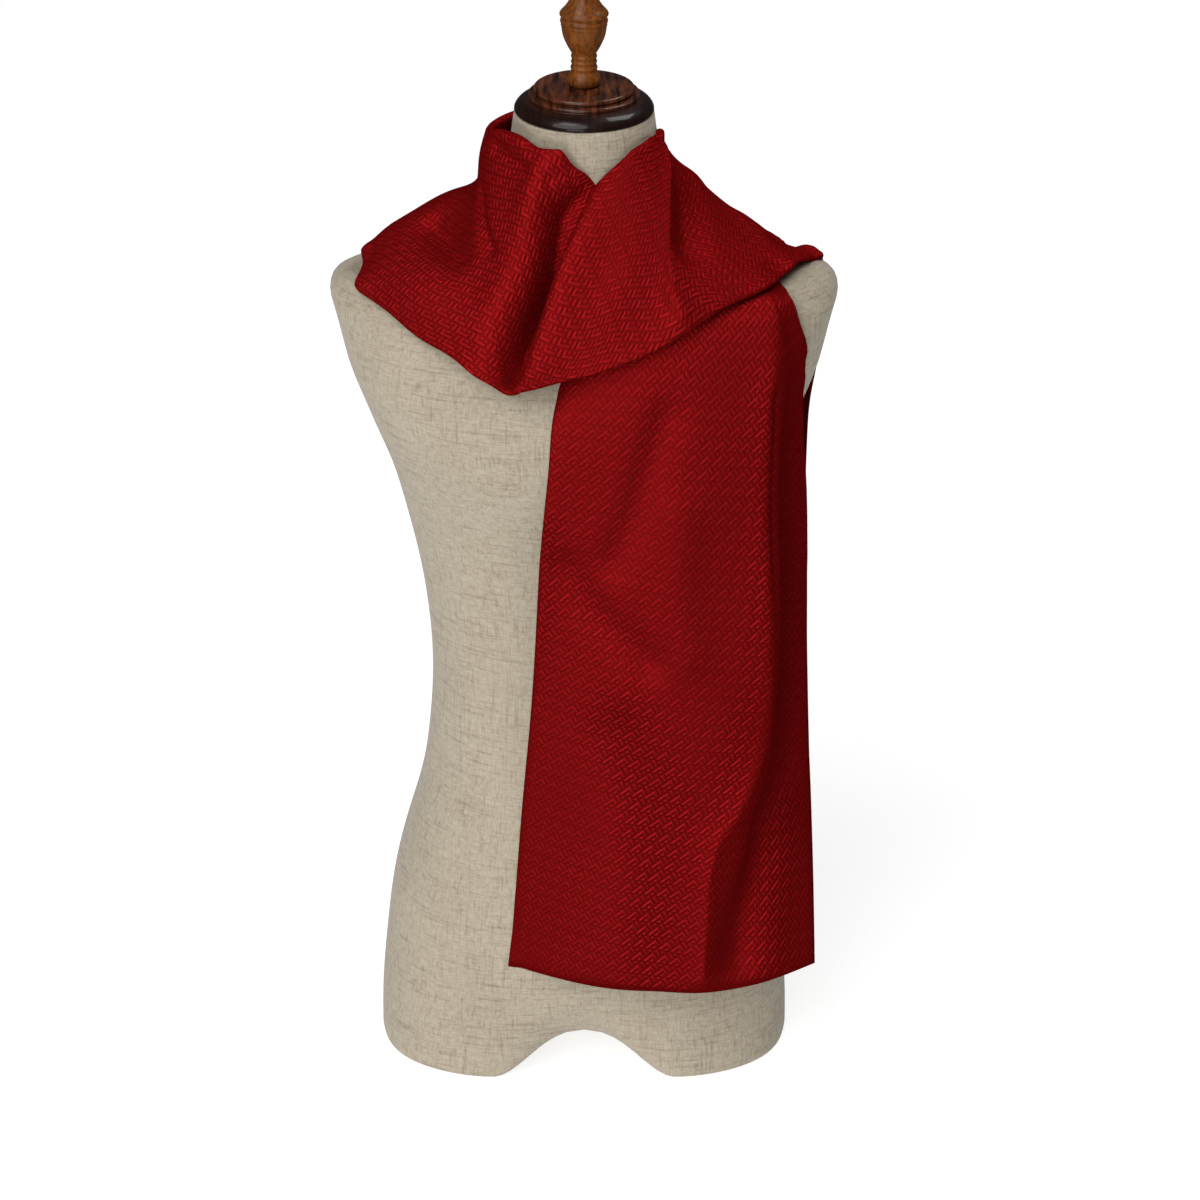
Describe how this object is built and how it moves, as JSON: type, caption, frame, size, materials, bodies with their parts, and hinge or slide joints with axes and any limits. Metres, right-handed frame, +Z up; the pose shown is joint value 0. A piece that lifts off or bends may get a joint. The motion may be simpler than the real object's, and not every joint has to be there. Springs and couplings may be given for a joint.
{
  "type": "silk scarf on a limbless dress form",
  "caption": "Red silk scarf wound round the neck of a linen covered torso form, with one tail in front, one behind and a turned wooden neck cap and finial.",
  "frame": {"origin": "on the floor under the middle of the part's box", "axes": "+Z up along the neck, +X to the viewer's right in the picture, +Y from the front to the back"},
  "size_m": [0.3904, 0.2788, 0.9145],
  "materials": {
    "linen": "matte",
    "dark_wood": "gloss",
    "wood": "gloss",
    "silk": "satin"
  },
  "bodies": {
    "root": {"form_torso": "linen", "neck_cap": "dark_wood", "neck_finial": "wood", "scarf_front_tail": "silk", "scarf_neck_wrap": "silk", "scarf_cowl_left": "silk", "scarf_cowl_right": "silk", "scarf_back_tail": "silk"}
  },
  "joints": []
}
